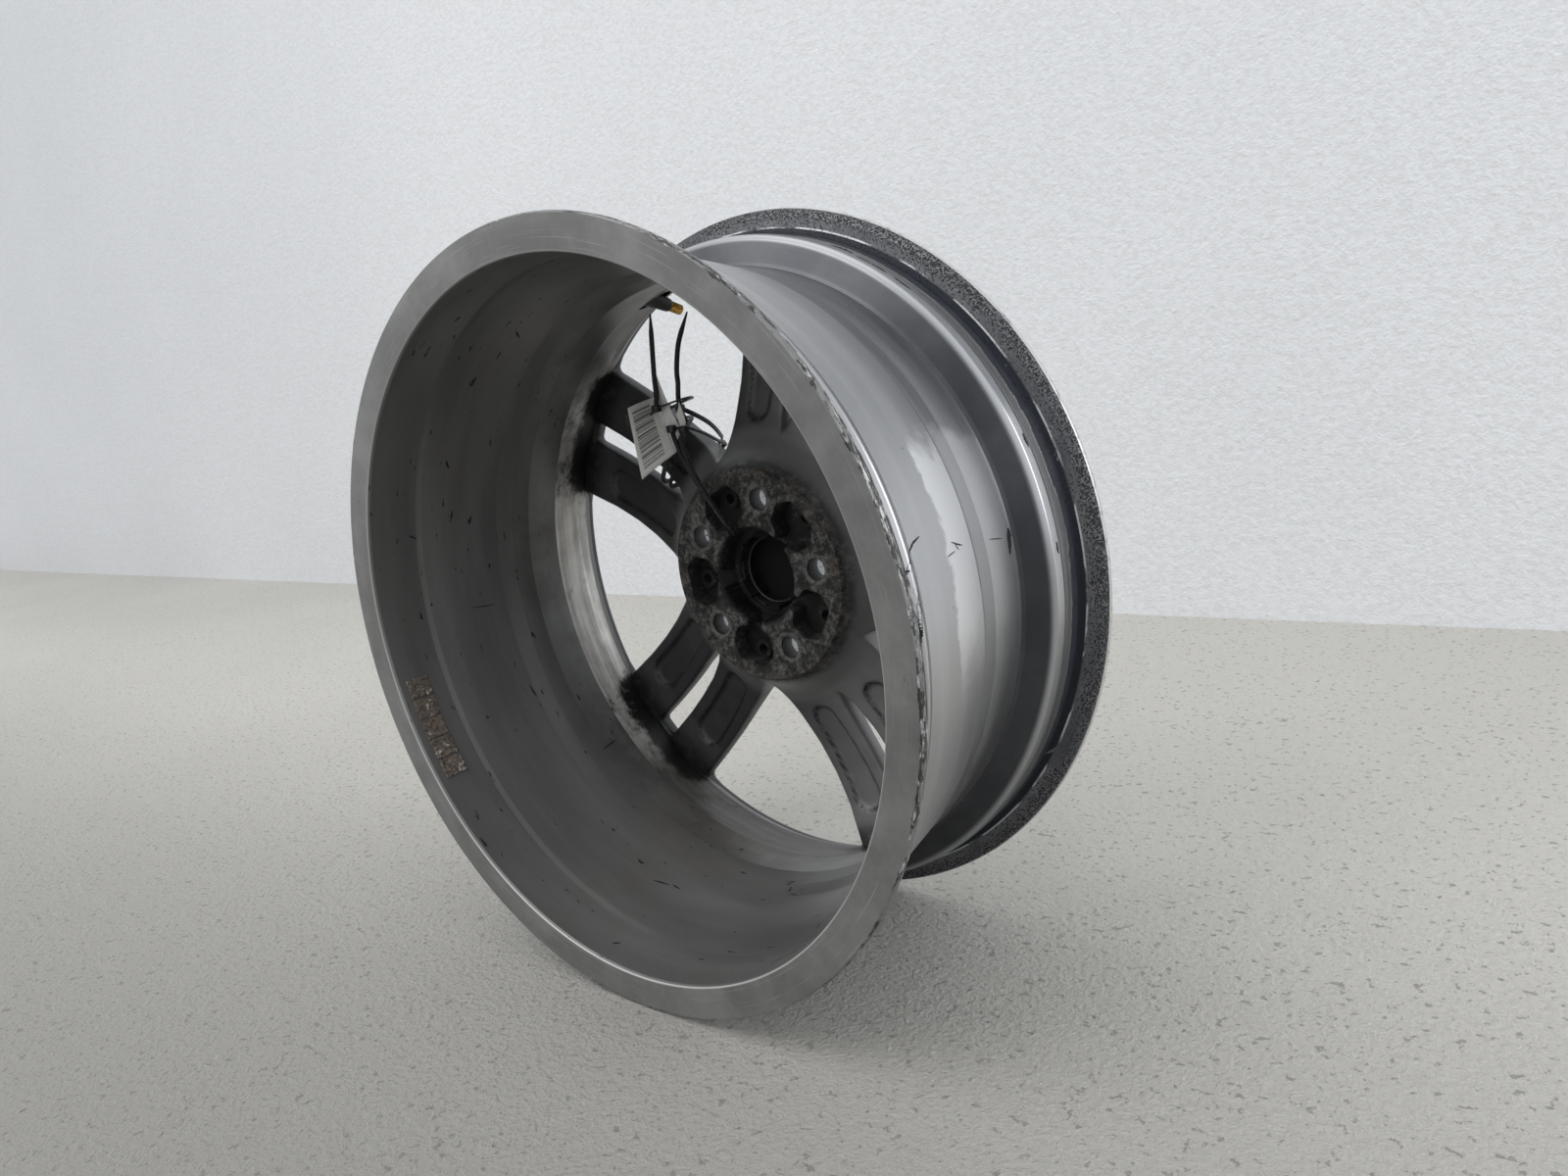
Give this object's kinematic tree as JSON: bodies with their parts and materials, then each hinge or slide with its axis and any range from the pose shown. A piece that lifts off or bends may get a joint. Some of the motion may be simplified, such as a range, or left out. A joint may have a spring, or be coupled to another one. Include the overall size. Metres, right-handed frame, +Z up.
{
  "type": "car alloy wheel",
  "caption": "Cast alloy wheel with twin spokes, deep rim barrel, dished hub, snap-in valve, pull-off centre cap, balance weight pads, cable ties and a folded paper tag.",
  "frame": {"origin": "on the axle, at the centre of the overall box: half way between the inboard lip face and the street-side crown of the spokes", "axes": "+Y along the axle towards the street side, +Z up, +X to the right when looking along +Y"},
  "size_m": [0.4966, 0.217, 0.4966],
  "materials": {
    "silver_paint": "worn satin silver paint on aluminium",
    "grey_paint": "worn dark grey paint on aluminium",
    "corroded_casting": "bare corroded aluminium casting",
    "cap_plastic": "satin",
    "spring_steel": "bright",
    "valve_rubber": "matte",
    "brass": "dull",
    "foam_tape": "crumbling adhesive foam",
    "nylon": "satin",
    "tag_stock": "matte, printed with plain bars"
  },
  "bodies": {
    "wheel": {"rim_inboard_flange": "silver_paint", "rim_well": "silver_paint", "rim_outboard_flange": "silver_paint", "hub": "corroded_casting", "twin_spoke_1": "grey_paint", "twin_spoke_2": "grey_paint", "twin_spoke_3": "grey_paint", "twin_spoke_4": "grey_paint", "twin_spoke_5": "grey_paint", "valve_rubber_body": "valve_rubber", "valve_stem": "brass", "valve_core_housing": "brass", "valve_core_spring": "spring_steel", "weight_pad_1": "foam_tape", "weight_pad_2": "foam_tape", "weight_pad_3": "foam_tape", "weight_pad_4": "foam_tape", "weight_pad_5": "foam_tape", "cable_tie_lower": "nylon", "cable_tie_upper": "nylon", "cable_tie_long": "nylon", "cable_tie_tag": "nylon", "paper_tag": "tag_stock"},
    "cap": {"centre_cap": "cap_plastic", "centre_cap_spring": "spring_steel"},
    "valve_pin": {"valve_core_pin": "brass", "valve_core_seal": "valve_rubber"}
  },
  "joints": [
    {"name": "centre_cap_pull", "type": "slide", "parent": "wheel", "child": "cap", "axis": [0, 1, 0], "range_m": [0, 0.04]},
    {"name": "valve_pin_press", "type": "slide", "parent": "wheel", "child": "valve_pin", "axis": [-0.1391, -0.9135, 0.3822], "range_m": [0, 0.0015], "stiffness_N_per_m": 400, "springref_m": -0.001}
  ]
}
